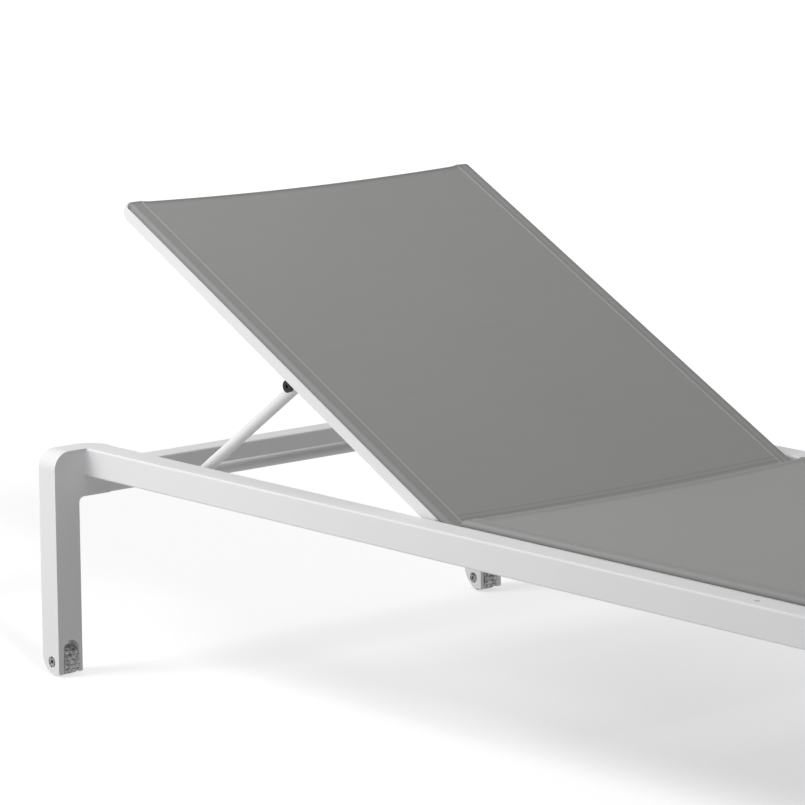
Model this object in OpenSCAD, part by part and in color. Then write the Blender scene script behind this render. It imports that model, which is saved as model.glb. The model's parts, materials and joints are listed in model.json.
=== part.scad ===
// Sun lounger: white coated frame on four legs, a stretched seat sling and a
// tilting backrest held by a folding stay, with a small wheel in each head leg.
// The head end is at minus X, the right side of a person lying down at minus Y.

/* [Overall] */
// Length over the two ends of the frame, mm
overall_length = 1950; // [1800:10:2100]
// Width over the legs, mm
overall_width = 735; // [680:5:800]
// Height of the side rails' top faces over the ground, mm
rail_top_height = 282.7; // [262:0.1:330]
// Tilt of the backrest as it stands, degrees
backrest_tilt = 27.67; // [20:0.01:36]

/* [Rails and crossbars] */
// Height of a side rail's section, mm
rail_height = 35.1; // [32:0.1:37]
// Width of a side rail's section, mm
rail_width = 35; // [32:0.1:37]
// From a leg's outer face to its rail's outer face, mm
rail_inset = 48.85; // [46:0.05:51]
// Wall of the rail and crossbar extrusions, mm
tube_wall = 2.5; // [2:0.1:3]
// Rounding of the extrusions' long edges, mm
tube_edge_radius = 2.5; // [1.5:0.1:3.5]
// Height of a crossbar's section, mm
crossbar_height = 34.9; // [32:0.1:37]
// From the rails' top faces down to the crossbars' top faces, mm
crossbar_drop = 24.65; // [22:0.05:28]

/* [Corner castings] */
// Thickness of a leg along the lounger, mm
leg_thickness = 33.15; // [30:0.05:36]
// Width of a leg across the lounger, mm
leg_width = 36.35; // [35.6:0.05:40]
// Gap between a leg's foot and the ground, mm
leg_lift = 4; // [3:0.1:5]
// Outer shoulder where the leg turns into the top, mm
shoulder_radius = 22; // [18:0.5:28]
// Inner fillet between leg and crossbar, mm
armpit_radius = 7; // [5:0.5:9]
// Fillet between the leg and the side rail's outer face, mm
rail_fillet_radius = 6; // [4:0.5:8]
// Plan rounding of the casting's inner end corner, mm
end_corner_radius = 30; // [26:0.5:30]
// Length of cast rail stub past the leg, mm
stub_length = 14; // [12:0.5:20]
// Length of the spigots that enter the extrusions, mm
spigot_length = 40; // [30:1:50]
// Clearance round a spigot, mm
spigot_clearance = 0.2; // [0.1:0.05:0.3]
// Height of the curved heel on a head leg's outer wall, mm
heel_height = 21; // [18:0.5:24]
// Radius of that heel, mm
heel_radius = 21.8; // [20:0.1:24]
// Height of the longer heel on the inner wall, mm
inner_heel_height = 31; // [28:0.5:34]
// Radius of the longer heel, mm
inner_heel_radius = 33.4; // [32:0.1:36]

/* [Wheels] */
// Wheel diameter, mm
wheel_diameter = 36; // [34:0.5:36.5]
// Wheel width, mm
wheel_width = 21; // [19:0.1:21.4]
// From the lounger's end to the axle, mm
axle_setback = 18.5; // [17.5:0.1:19]
// Outer wall of the wheel slot, mm
slot_outer_wall = 8.1; // [7.6:0.1:8.6]
// Width of the wheel slot, mm
slot_width = 22.8; // [22.4:0.1:23.2]
// Height of the slot's arched top over the ground, mm
slot_top = 45.6; // [43:0.1:50]
// Axle bolt diameter, mm
axle_diameter = 6; // [5:0.5:7]
// Diameter of the axle bolt's head, mm
axle_head_diameter = 13; // [12:0.5:13.4]
// Diameter of the recesses round the axle's ends, mm
axle_recess_diameter = 14; // [13.8:0.1:15]
// Depth of the recess in the outer wall, mm
axle_recess_depth = 3; // [2.4:0.1:3.6]
// Depth of the recess in the inner wall, mm
axle_inner_recess_depth = 2.2; // [1.8:0.1:2.6]
// Diameter of the hub inside the tyre, mm
hub_diameter = 25; // [22:0.5:27]
// Depth of the tread grooves, mm
tread_depth = 1.2; // [0.8:0.1:1.6]
// Width of the tread grooves, mm
tread_groove = 1.6; // [1.2:0.1:2]
// Number of tread grooves
tread_count = 18; // [14:1:20]

/* [Foot glides] */
// Inset of a glide from the leg's faces, mm
glide_inset = 2; // [1:0.5:4]
// Depth of a glide's plug in its leg, mm
glide_plug_depth = 12; // [8:1:16]
// Diameter of that plug, mm
glide_plug_diameter = 16; // [12:1:18]

/* [Sling bars] */
// Width of a sling bar's section, mm
bar_width = 19.3; // [18.5:0.1:21]
// From the rails' top level down to a bar's underside, mm
bar_depth = 15.4; // [15:0.1:16]
// Rise of a bar's crown over the rails' top level, mm
crown_rise = 3.7; // [3.4:0.1:4]
// Rounding of the crown's outer edge, mm
crown_radius = 4; // [3.8:0.1:4.2]
// Wall of a bar's hollow section, mm
bar_wall = 2; // [1.8:0.1:2.2]
// Thickness of the cloth, mm
cloth_thickness = 1.2; // [1:0.1:1.4]
// From the rails' top level up to the cloth slot's upper lip, mm
slot_rise = 2; // [1.8:0.1:2.2]
// Diameter of the keder channel, mm
channel_diameter = 5.2; // [5:0.1:5.4]
// Diameter of the keder rod in the cloth's edge, mm
keder_diameter = 4.7; // [4.5:0.1:4.8]

/* [Backrest] */
// From the lounger's head end to the hinge axis, mm
hinge_setback = 638.7; // [630:0.1:645]
// From the rails' top level down to the hinge axis, mm
hinge_drop = 8; // [7.8:0.1:8.2]
// From a leg's outer face to a back bar's outer face, mm
back_bar_inset = 90.3; // [90:0.1:91.5]
// From the hinge axis up to the bar's upper end, mm
back_bar_reach = 640; // [620:1:650]
// From the hinge axis down to the bar's lower end, mm
back_bar_tail = 28.5; // [26:0.5:30]
// Length of the upper end cap, mm
back_cap_length = 10; // [8:0.5:12]
// Rounding of that cap's lower corner, mm
back_cap_radius = 9.5; // [7:0.5:9.5]
// Thickness of the lower end caps, mm
end_cap_thickness = 2; // [1.5:0.1:2.5]
// Sag of a sling at its middle, mm
sling_sag = 4; // [3:0.5:6]
// Hollow of the backrest sling's upper edge, mm
edge_hollow = 8; // [5:0.5:10]
// Diameter of the spreader tubes, mm
spreader_diameter = 12; // [11:0.5:13]
// Wall of the spreader tubes, mm
spreader_wall = 1.5; // [1.2:0.1:2]
// From the rails' top level down to the spreaders' axis, mm
spreader_drop = 9; // [8.8:0.1:9.2]
// Hinge bolt diameter, mm
hinge_bolt_diameter = 7; // [6:0.5:7.5]
// Diameter of the hinge bushes and bolt heads, mm
hinge_bush_diameter = 14; // [12:0.5:14.5]
// Diameter of the hinge nuts in the rails, mm
hinge_nut_diameter = 10.4; // [9.5:0.1:10.6]
// Radial running clearance of the pivots, mm
pivot_clearance = 0.05; // [0.03:0.01:0.08]
// Side clearance of the pivots, mm
side_clearance = 0.3; // [0.3:0.05:0.4]

/* [Stay] */
// From the hinge axis to the stay's pivot along the bar, mm
pivot_reach = 295.6; // [288:0.1:302]
// From the rails' top level down to the stay's pivot, mm
pivot_drop = 23; // [22.9:0.1:24]
// Length of the stay from pivot to foot tube, mm
stay_length = 227.1; // [224:0.1:230]
// Height of the foot tube's axis over the ground, mm
stay_foot_height = 267.6; // [266:0.1:269]
// Diameter of the stay's arms, mm
stay_diameter = 14; // [13:0.1:14.2]
// Diameter of the stay's foot tube, mm
foot_tube_diameter = 14.6; // [14.4:0.1:15]
// Wall of the stay's tubes, mm
stay_wall = 1.8; // [1.5:0.1:2.2]
// From a leg's outer face to the middle of a stay arm, mm
stay_arm_inset = 112; // [111.5:0.1:114]
// Diameter of the pivot bolt, mm
pivot_bolt_diameter = 6; // [5:0.5:7]
// Diameter of the pivot bolt's black head, mm
pivot_head_diameter = 15; // [14:0.5:15.5]
// Thickness of that head, mm
pivot_head_thickness = 4.7; // [4:0.1:5]
// Thickness of the pivot lug, mm
lug_thickness = 3; // [2.5:0.1:3.5]
// Length of the lug along the bar, mm
lug_length = 34; // [28:1:40]
// Thickness of the lug's base on the bar, mm
lug_base = 2; // [1.6:0.1:2.4]
// Thickness of the spacer between lug and arm, mm
pivot_spacer = 3.7; // [3:0.1:3.7]
// Diameter of that spacer, mm
pivot_spacer_diameter = 11; // [10:0.5:11]
// Radius of the lug's rounded end, mm
lug_radius = 7.5; // [7:0.1:7.6]

/* [Racks] */
// From the lounger's head end to the rack's head end, mm
rack_start = 152; // [148:1:156]
// Length of a rack, mm
rack_length = 198; // [190:1:204]
// Thickness of a rack plate, mm
rack_thickness = 5.4; // [4.5:0.1:5.4]
// From the rack tips down to its underside at the first notch, mm
rack_depth = 10; // [9:0.5:11]
// Rise of the rack's tips along its length, share
rack_slope_share = 0.125; // [0.11:0.001:0.13]
// Clearance between the foot tube's path and the rack tips, mm
rack_clearance = 0.7; // [0.6:0.05:1]
// Spacing of the notches, mm
notch_spacing = 48; // [44:1:50]
// Number of notches
notch_count = 4; // [3:1:4]
// Depth of a notch, mm
notch_depth = 4.5; // [3.5:0.1:5]

/* [Seat] */
// From a leg's outer face to a seat bar's outer face, mm
seat_bar_inset = 84.9; // [84.8:0.1:86]
// From the lounger's foot end to the seat bars' foot ends, mm
seat_bar_finish = 34; // [33.4:0.1:60]
// From the lounger's head end to the seat sling's edge, mm
seat_sling_start = 687; // [684:1:690]
// From the seat sling's head edge to the first spreader, mm
seat_spreader_setback = 14; // [10:1:20]
// Number of seat fixings on each side
seat_fixing_count = 4; // [3:1:5]
// From a seat bar's end to its first fixing, mm
seat_fixing_setback = 60; // [50:1:80]
// From the rails' top level down to the fixings, mm
seat_fixing_drop = 10; // [9.8:0.1:10.2]
// Diameter of the seat fixing screws, mm
seat_screw_diameter = 6; // [5:0.5:6.5]
// Diameter of their heads and spacers, mm
seat_spacer_diameter = 10; // [9:0.5:10.5]
// Height of a screw head, mm
screw_head_height = 4; // [3:0.5:5]

/* [Hidden] */
$fn = 48;
big_fn = 720;

half_length = overall_length / 2;
half_width = overall_width / 2;
over = rail_wall_overlap();
function rail_wall_overlap() = tube_wall / 2;

rail_bottom = rail_top_height - rail_height;
crossbar_top = rail_top_height - crossbar_drop;
crossbar_bottom = crossbar_top - crossbar_height;
rail_inner = rail_inset + rail_width;
casting_length = leg_thickness + stub_length;
slot_inner = slot_outer_wall + slot_width;
slot_middle = slot_outer_wall + slot_width / 2;
axle_height = wheel_diameter / 2;
axle_head_depth = axle_recess_depth * 0.9;

hinge_x = hinge_setback - half_length;
hinge_z = rail_top_height - hinge_drop;
back_span = overall_width - 2 * back_bar_inset;
seat_span = overall_width - 2 * seat_bar_inset;
channel_y = cloth_thickness + channel_diameter / 2 + spreader_wall / 2;
channel_z = slot_rise - cloth_thickness - channel_diameter / 2 + bar_wall / 2;
cloth_slot_z = slot_rise - cloth_thickness;
tongue_y = channel_y - keder_diameter / 2 + over / 4;
crown_y = cloth_thickness + crown_radius;
crown_z = crown_rise - crown_radius;

pivot_x = hinge_x - pivot_reach * cos(backrest_tilt) - (pivot_drop - hinge_drop) * sin(backrest_tilt);
pivot_z = hinge_z + pivot_reach * sin(backrest_tilt) - (pivot_drop - hinge_drop) * cos(backrest_tilt);
stay_fall = asin((pivot_z - stay_foot_height) / stay_length);
foot_x = pivot_x - stay_length * cos(stay_fall);
stay_arm_y = stay_arm_inset - half_width;
lug_inner = stay_arm_inset - stay_diameter / 2 - side_clearance - pivot_spacer;
lug_outer = lug_inner - lug_thickness;

rack_x = rack_start - half_length;
rack_tip_z = stay_foot_height - foot_tube_diameter / 2 - rack_clearance;
rack_rise = rack_slope_share * rack_length;
rack_first_tip = rack_tip_z - rack_slope_share * (foot_x - rack_x);

seat_sling_x = seat_sling_start - half_length;
seat_bar_x = seat_sling_x + end_cap_thickness;
seat_bar_length = half_length - seat_bar_finish - seat_bar_x;
seat_sling_length = seat_bar_x + seat_bar_length - seat_sling_x;
seat_spreader_x = seat_sling_x + seat_spreader_setback;
seat_spreader_gap = (seat_sling_length - 2 * seat_spreader_setback) / 2;
seat_fixing_x = seat_bar_x + seat_fixing_setback;
seat_fixing_z = rail_top_height - seat_fixing_drop;
seat_fixing_gap = (seat_bar_length - 2 * seat_fixing_setback) / (seat_fixing_count - 1);

coat = [0.93, 0.93, 0.94];
cloth = [0.6, 0.6, 0.59];
dark = [0.12, 0.12, 0.13];
nylon = [0.75, 0.75, 0.76];
rubber = [0.45, 0.45, 0.46];
steel = [0.7, 0.71, 0.72];

// Draws its children on both sides of the lounger's middle plane.
module both_sides() {
  children();
  mirror([0, 1, 0]) children();
}

// Flat rectangle with four equally rounded corners.
module rounded_plate(wide, high, radius) {
  translate([radius, 0]) square([wide - 2 * radius, high]);
  translate([0, radius]) square([wide, high - 2 * radius]);
  for (across = [radius, wide - radius]) {
    for (up = [radius, high - radius]) {
      translate([across, up]) circle(r = radius);
    }
  }
}

// The piece that rounds a convex corner at the origin when it is cut away.
module corner_cut(radius) {
  difference() {
    translate([-over, -over]) square([radius + over, radius + over]);
    translate([radius, radius]) circle(r = radius);
  }
}

// The piece that fills a hollow corner at the origin with a fillet.
module corner_fill(radius) {
  difference() {
    square([radius, radius]);
    translate([radius, radius]) circle(r = radius);
  }
}

// Stands a drawing of (Y, Z) points up and runs it along X.
module along_x(length) {
  rotate([90, 0, 90]) linear_extrude(height = length) children();
}

// Stands a drawing of (X, Z) points up and runs it along plus Y.
module along_y(length) {
  translate([0, length, 0]) rotate([90, 0, 0]) linear_extrude(height = length) children();
}

// Round bar along plus Y.
module pin(diameter, length) {
  rotate([-90, 0, 0]) cylinder(d = diameter, h = length);
}

// Hollow rail section with its corner at the origin, drawn flat.
module tube_section(wide, high) {
  difference() {
    rounded_plate(wide, high, tube_edge_radius);
    translate([tube_wall, tube_wall]) square([wide - 2 * tube_wall, high - 2 * tube_wall]);
  }
}

// Solid spigot section that enters such a tube.
module spigot_section(wide, high) {
  inset = tube_wall + spigot_clearance;
  translate([inset, inset]) square([wide - 2 * inset, high - 2 * inset]);
}

// Leg and shoulder of a casting seen along the lounger, (Y, Z) from the outer face.
module casting_front() {
  difference() {
    union() {
      translate([0, leg_lift]) square([leg_width, rail_top_height - leg_lift]);
      translate([0, rail_bottom]) square([rail_inner, rail_height]);
      translate([leg_width, crossbar_bottom]) square([rail_inner - leg_width, crossbar_height]);
      translate([leg_width, crossbar_bottom]) mirror([0, 1]) corner_fill(armpit_radius);
    }
    translate([0, rail_top_height]) mirror([0, 1]) corner_cut(shoulder_radius);
  }
}

// Head corner on the right, its end face at X 0 and its outer face at Y 0.
module casting() {
  difference() {
    along_x(leg_thickness) casting_front();
    translate([0, rail_inner, crossbar_top])
      linear_extrude(height = crossbar_drop + over)
        mirror([0, 1]) corner_cut(end_corner_radius);
  }
  translate([leg_thickness, rail_inset, rail_bottom])
    along_x(stub_length) rounded_plate(rail_width, rail_height, tube_edge_radius);
  translate([leg_thickness, rail_inset, rail_bottom + tube_edge_radius])
    linear_extrude(height = rail_height - 2 * tube_edge_radius)
      mirror([0, 1]) corner_fill(rail_fillet_radius);
  translate([casting_length, rail_inset, rail_bottom])
    along_x(spigot_length) spigot_section(rail_width, rail_height);
  translate([0, rail_inner, crossbar_bottom])
    along_y(spigot_length) spigot_section(leg_thickness, crossbar_height);
}

// Wheel slot of a head leg seen along the lounger, with an arched top.
module slot_front() {
  translate([0, -over]) square([slot_width, slot_top - slot_width / 2 + over]);
  translate([slot_width / 2, slot_top - slot_width / 2]) circle(d = slot_width);
}

// What a curved heel takes off the foot's end corner, (X, Z) from the end face.
module heel_cut(radius, height) {
  difference() {
    translate([-over, leg_lift - over]) square([radius + over, height + over]);
    translate([radius, leg_lift + height]) circle(r = radius, $fn = 96);
  }
}

// Head corner with its wheel slot, curved heels and axle holes.
module head_corner() {
  translate([-half_length, -half_width, 0]) difference() {
    casting();
    translate([-over, slot_outer_wall, 0]) along_x(leg_thickness + 2 * over) slot_front();
    translate([0, -over, 0]) along_y(slot_outer_wall + slot_width / 2 + over)
      heel_cut(heel_radius, heel_height);
    translate([0, slot_middle, 0]) along_y(leg_width - slot_middle + over)
      heel_cut(inner_heel_radius, inner_heel_height);
    translate([axle_setback, -over, axle_height]) pin(axle_diameter, leg_width + 2 * over);
    translate([axle_setback, -over, axle_height])
      pin(axle_recess_diameter, axle_recess_depth + over);
    translate([axle_setback, leg_width - axle_inner_recess_depth, axle_height])
      pin(axle_recess_diameter, axle_inner_recess_depth + over);
  }
}

// Foot corner, the same casting turned round, with a hole for the glide's plug.
module foot_corner() {
  mirror([1, 0, 0]) translate([-half_length, -half_width, 0]) difference() {
    casting();
    translate([leg_thickness / 2, leg_width / 2, leg_lift - over])
      cylinder(d = glide_plug_diameter, h = glide_plug_depth + over);
  }
}

module corner_head_right() { color(coat) head_corner(); }
module corner_head_left() { color(coat) mirror([0, 1, 0]) head_corner(); }
module corner_foot_right() { color(coat) foot_corner(); }
module corner_foot_left() { color(coat) mirror([0, 1, 0]) foot_corner(); }

// Side rail between two castings, with the holes that its fixings need.
module side_rail() {
  difference() {
    translate([casting_length - half_length, rail_inset - half_width, rail_bottom])
      along_x(overall_length - 2 * casting_length) tube_section(rail_width, rail_height);
    translate([hinge_x, rail_inner - tube_wall - over - half_width, hinge_z])
      pin(hinge_bolt_diameter, tube_wall + 2 * over);
    for (place = [0 : seat_fixing_count - 1]) {
      translate([seat_fixing_x + place * seat_fixing_gap,
                 rail_inner - tube_wall - over - half_width, seat_fixing_z])
        pin(seat_screw_diameter, tube_wall + 2 * over);
    }
    for (end = [0, 1]) {
      translate([rack_rivet_x(end), rail_inner - tube_wall - over - half_width, rack_rivet_z(end)])
        pin(pivot_bolt_diameter, tube_wall + 2 * over);
    }
  }
}

module rail_right() { color(coat) side_rail(); }
module rail_left() { color(coat) mirror([0, 1, 0]) side_rail(); }

// Crossbar between the two castings of one end.
module crossbar() {
  translate([-half_length, rail_inner - half_width, crossbar_bottom])
    along_y(overall_width - 2 * rail_inner) tube_section(leg_thickness, crossbar_height);
}

module crossbar_head() { color(coat) crossbar(); }
module crossbar_foot() { color(coat) mirror([1, 0, 0]) crossbar(); }

// Axle bolt across the wheel slot, with a socket in its head and a nut inside.
module axle() {
  head_start = axle_recess_depth - axle_head_depth;
  translate([axle_setback - half_length, head_start - half_width, axle_height]) difference() {
    union() {
      pin(axle_head_diameter, axle_head_depth);
      pin(axle_diameter, leg_width - head_start - axle_inner_recess_depth + over);
      translate([0, leg_width - head_start - axle_inner_recess_depth, 0])
        pin(axle_head_diameter, axle_inner_recess_depth * 0.9);
    }
    translate([0, -over, 0]) pin(axle_diameter * 0.8, axle_head_depth * 0.7 + over);
    translate([0, leg_width - head_start - axle_inner_recess_depth * 0.6, 0])
      pin(axle_diameter * 0.8, axle_inner_recess_depth);
  }
}

module axle_right() { color(steel) axle(); }
module axle_left() { color(steel) mirror([0, 1, 0]) axle(); }

// Hub that turns on the axle bolt.
module hub() {
  translate([axle_setback - half_length, slot_middle - wheel_width / 2 - half_width, axle_height])
    difference() {
      pin(hub_diameter, wheel_width);
      translate([0, -over, 0])
        pin(axle_diameter + 2 * pivot_clearance, wheel_width + 2 * over);
    }
}

// Tyre on the hub, with grooves across its tread and rounded shoulders.
module tyre() {
  shoulder = tread_depth;
  translate([axle_setback - half_length, slot_middle - half_width, axle_height])
    rotate([90, 0, 0]) difference() {
      rotate_extrude($fn = 72) translate([hub_diameter / 2, -wheel_width / 2]) difference() {
        square([(wheel_diameter - hub_diameter) / 2, wheel_width]);
        translate([(wheel_diameter - hub_diameter) / 2, 0]) mirror([1, 0]) corner_cut(shoulder);
        translate([(wheel_diameter - hub_diameter) / 2, wheel_width])
          rotate(180) corner_cut(shoulder);
      }
      for (groove = [0 : tread_count - 1]) {
        rotate((groove + 1 / 2) * 360 / tread_count)
          translate([wheel_diameter / 2 - tread_depth, -tread_groove / 2, -wheel_width / 2 - over])
            cube([tread_depth + over, tread_groove, wheel_width + 2 * over]);
      }
    }
}

module wheel_hub_right() { color(nylon) hub(); }
module wheel_hub_left() { color(nylon) mirror([0, 1, 0]) hub(); }
module wheel_tyre_right() { color(rubber) tyre(); }
module wheel_tyre_left() { color(rubber) mirror([0, 1, 0]) tyre(); }

// Glide under a foot leg, a pad with a plug that enters the leg.
module glide() {
  mirror([1, 0, 0]) translate([-half_length, -half_width, 0]) {
    translate([glide_inset, glide_inset, 0]) linear_extrude(height = leg_lift)
      rounded_plate(leg_thickness - 2 * glide_inset, leg_width - 2 * glide_inset, leg_lift);
    translate([leg_thickness / 2, leg_width / 2, leg_lift / 2])
      cylinder(d = glide_plug_diameter, h = glide_plug_depth + leg_lift / 2);
  }
}

module glide_right() { color(dark) glide(); }
module glide_left() { color(dark) mirror([0, 1, 0]) glide(); }

// Place of a rack rivet, near one end of the rack or the other.
function rack_rivet_x(end) = rack_x + rack_rivet_inset() + end * (rack_length - 2 * rack_rivet_inset());
function rack_rivet_inset() = foot_tube_diameter / 2;
function rack_rivet_z(end) = rack_first_tip - rack_depth / 2 + end * rack_rise;

// Side view of a rack: a sloping strip with a round notch for each position.
module rack_side() {
  difference() {
    polygon([[0, -rack_depth], [rack_length, rack_rise - rack_depth],
             [rack_length, rack_rise], [0, 0]]);
    for (place = [0 : notch_count - 1]) {
      along = foot_x - rack_x + place * notch_spacing;
      translate([along, rack_slope_share * along + foot_tube_diameter / 2 - notch_depth])
        circle(d = foot_tube_diameter + rack_clearance);
    }
  }
}

// Rack on the rail's inner face, in which the stay's foot tube is set.
module rack() {
  translate([rack_x, rail_inner - half_width, rack_first_tip]) difference() {
    along_y(rack_thickness) rack_side();
    for (end = [0, 1]) {
      translate([rack_rivet_x(end) - rack_x, -over, rack_rivet_z(end) - rack_first_tip])
        pin(pivot_bolt_diameter / 2, rack_thickness + 2 * over);
    }
  }
}

module rack_right() { color(coat) rack(); }
module rack_left() { color(coat) mirror([0, 1, 0]) rack(); }

// Rivets that hold the racks to the rails.
module rack_rivets() {
  color(steel) both_sides() for (end = [0, 1]) {
    translate([rack_rivet_x(end), rail_inner - tube_wall - half_width, rack_rivet_z(end)])
      pin(pivot_bolt_diameter, tube_wall);
    translate([rack_rivet_x(end), rail_inner - tube_wall - half_width, rack_rivet_z(end)])
      pin(pivot_bolt_diameter / 2, tube_wall + rack_thickness);
  }
}

// Outline of a sling bar, outer face at Y 0 and the rails' top level at Z 0.
module bar_outline() {
  difference() {
    union() {
      translate([0, -bar_depth]) square([bar_width, bar_depth + slot_rise]);
      translate([crown_y, slot_rise]) square([bar_width - crown_y, crown_rise - slot_rise]);
      intersection() {
        translate([crown_y, crown_z]) circle(r = crown_radius);
        translate([0, slot_rise]) square([crown_y, crown_rise - slot_rise]);
      }
    }
    translate([-over, cloth_slot_z]) square([channel_y + over, cloth_thickness]);
  }
}

// Section of a sling bar, hollow, with the channel for the keder.
module bar_section() {
  web = channel_y + channel_diameter / 2 + bar_wall;
  difference() {
    bar_outline();
    translate([bar_wall, bar_wall - bar_depth])
      square([bar_width - 2 * bar_wall, bar_depth + channel_z - channel_diameter / 2 - 2 * bar_wall]);
    translate([web, bar_wall - bar_depth])
      square([bar_width - bar_wall - web, bar_depth + crown_rise - 2 * bar_wall]);
    translate([channel_y, channel_z]) circle(d = channel_diameter);
  }
}

// Section of a sling over two bars, from one cloth slot to the other.
module sling_section(span) {
  chord = span / 2 - bar_width;
  sag_radius = (chord * chord + sling_sag * sling_sag) / (2 * sling_sag);
  under_radius = norm([chord, sag_radius - sling_sag + cloth_thickness]);
  for (side = [0, 1]) {
    translate([side * span, 0]) mirror([side, 0]) {
      translate([cloth_thickness, cloth_slot_z])
        square([tongue_y - cloth_thickness, cloth_thickness]);
      intersection() {
        difference() {
          translate([crown_y, crown_z]) circle(r = crown_radius + cloth_thickness);
          translate([crown_y, crown_z]) circle(r = crown_radius);
        }
        translate([0, cloth_slot_z])
          square([crown_y, crown_rise + cloth_thickness - cloth_slot_z]);
      }
      translate([crown_y, crown_rise]) square([bar_width - crown_y, cloth_thickness]);
    }
  }
  intersection() {
    translate([span / 2, crown_rise + cloth_thickness - sling_sag + sag_radius]) difference() {
      circle(r = under_radius, $fn = big_fn);
      circle(r = sag_radius, $fn = big_fn);
    }
    translate([bar_width, crown_rise - sling_sag - over])
      square([span - 2 * bar_width, sling_sag + cloth_thickness + over]);
  }
}

// Seat bar on the right, a sling bar beside the rail with its screw holes.
module seat_bar() {
  difference() {
    translate([seat_bar_x, seat_bar_inset - half_width, rail_top_height])
      along_x(seat_bar_length) bar_section();
    for (place = [0 : seat_fixing_count - 1]) {
      translate([seat_fixing_x + place * seat_fixing_gap,
                 seat_bar_inset - over - half_width, seat_fixing_z])
        pin(seat_screw_diameter, bar_width + 2 * over);
    }
  }
}

module seat_bar_right() { color(coat) seat_bar(); }
module seat_bar_left() { color(coat) mirror([0, 1, 0]) seat_bar(); }

// Spreader tube between two bars, lying across the lounger.
module spreader(inset) {
  translate([0, inset + bar_width - half_width, rail_top_height - spreader_drop]) difference() {
    pin(spreader_diameter, overall_width - 2 * (inset + bar_width));
    translate([0, -over, 0])
      pin(spreader_diameter - 2 * spreader_wall, overall_width - 2 * (inset + bar_width - over));
  }
}

module seat_spreader_head() {
  color(coat) translate([seat_spreader_x, 0, 0]) spreader(seat_bar_inset);
}
module seat_spreader_middle() {
  color(coat) translate([seat_spreader_x + seat_spreader_gap, 0, 0]) spreader(seat_bar_inset);
}
module seat_spreader_foot() {
  color(coat) translate([seat_spreader_x + 2 * seat_spreader_gap, 0, 0]) spreader(seat_bar_inset);
}

// Caps on the head ends of the seat bars.
module seat_end_caps() {
  color(coat) both_sides()
    translate([seat_bar_x - end_cap_thickness, seat_bar_inset - half_width, rail_top_height])
      along_x(end_cap_thickness) bar_outline();
}

// Keder rods in the seat bars.
module seat_keders() {
  color(dark) both_sides()
    translate([seat_bar_x, seat_bar_inset - half_width, rail_top_height])
      along_x(seat_bar_length) translate([channel_y, channel_z]) circle(d = keder_diameter);
}

// Screws through the seat bars into the rails.
module seat_screws() {
  color(steel) both_sides() for (place = [0 : seat_fixing_count - 1]) {
    translate([seat_fixing_x + place * seat_fixing_gap, -half_width, seat_fixing_z]) {
      translate([0, rail_inner - tube_wall - over, 0])
        pin(seat_screw_diameter, seat_bar_inset + bar_width - rail_inner + tube_wall + 2 * over);
      translate([0, seat_bar_inset + bar_width, 0])
        pin(seat_spacer_diameter, screw_head_height);
    }
  }
}

// Washers that keep the seat bars off the rails.
module seat_spacers() {
  color(nylon) both_sides() for (place = [0 : seat_fixing_count - 1]) {
    translate([seat_fixing_x + place * seat_fixing_gap, rail_inner - half_width, seat_fixing_z])
      difference() {
        pin(seat_spacer_diameter, seat_bar_inset - rail_inner);
        translate([0, -over, 0])
          pin(seat_screw_diameter, seat_bar_inset - rail_inner + 2 * over);
      }
  }
}

// Seat cloth, stretched over the two seat bars.
module seat_sling() {
  color(cloth) translate([seat_sling_x, seat_bar_inset - half_width, rail_top_height])
    along_x(seat_sling_length) sling_section(seat_span);
}

// Turns what is drawn level up to the backrest's tilt about the hinge.
module tilted() {
  translate([hinge_x, 0, hinge_z]) rotate([0, backrest_tilt, 0]) children();
}

// Backrest bar on the right, drawn from the hinge axis.
module back_bar() {
  difference() {
    translate([-back_bar_reach, back_bar_inset - half_width, hinge_drop])
      along_x(back_bar_reach + back_bar_tail) bar_section();
    translate([0, back_bar_inset - over - half_width, 0])
      pin(hinge_bolt_diameter + 2 * pivot_clearance, bar_width + 2 * over);
  }
}

module back_bar_right() { color(coat) tilted() back_bar(); }
module back_bar_left() { color(coat) tilted() mirror([0, 1, 0]) back_bar(); }

// Backrest spreader at a given distance up from the hinge.
module back_spreader(reach) {
  tilted() translate([-reach, 0, hinge_drop - rail_top_height]) spreader(back_bar_inset);
}

module back_spreader_top() { color(coat) back_spreader(back_bar_reach * 0.92); }
module back_spreader_middle() { color(coat) back_spreader(pivot_reach * 1.18); }
module back_spreader_bottom() { color(coat) back_spreader(bar_width); }

// End caps of the backrest bars, the upper ones with a rounded lower corner.
module back_end_caps() {
  color(coat) tilted() both_sides() {
    intersection() {
      translate([-back_bar_reach - back_cap_length, back_bar_inset - half_width, hinge_drop])
        along_x(back_cap_length) bar_outline();
      translate([-back_bar_reach - back_cap_length, back_bar_inset - half_width, hinge_drop - bar_depth])
        along_y(bar_width) difference() {
          square([back_cap_length, bar_depth + crown_rise]);
          corner_cut(back_cap_radius);
        }
    }
    translate([back_bar_tail, back_bar_inset - half_width, hinge_drop])
      along_x(end_cap_thickness) bar_outline();
  }
}

// Keder rods in the backrest bars.
module back_keders() {
  color(dark) tilted() both_sides()
    translate([-back_bar_reach, back_bar_inset - half_width, hinge_drop])
      along_x(back_bar_reach - hinge_bush_diameter)
        translate([channel_y, channel_z]) circle(d = keder_diameter);
}

// Backrest cloth, with a hollow upper edge between the bars.
module back_sling() {
  reach = back_bar_reach + back_cap_length * 0.8;
  chord = back_span / 2 - bar_width / 2;
  edge_radius = (chord * chord + edge_hollow * edge_hollow) / (2 * edge_hollow);
  color(cloth) tilted() difference() {
    translate([-reach, back_bar_inset - half_width, hinge_drop])
      along_x(reach + back_bar_tail + end_cap_thickness) sling_section(back_span);
    translate([edge_hollow - reach - edge_radius, 0, -bar_depth])
      cylinder(r = edge_radius, h = 2 * bar_depth + hinge_drop, $fn = big_fn);
  }
}

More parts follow.
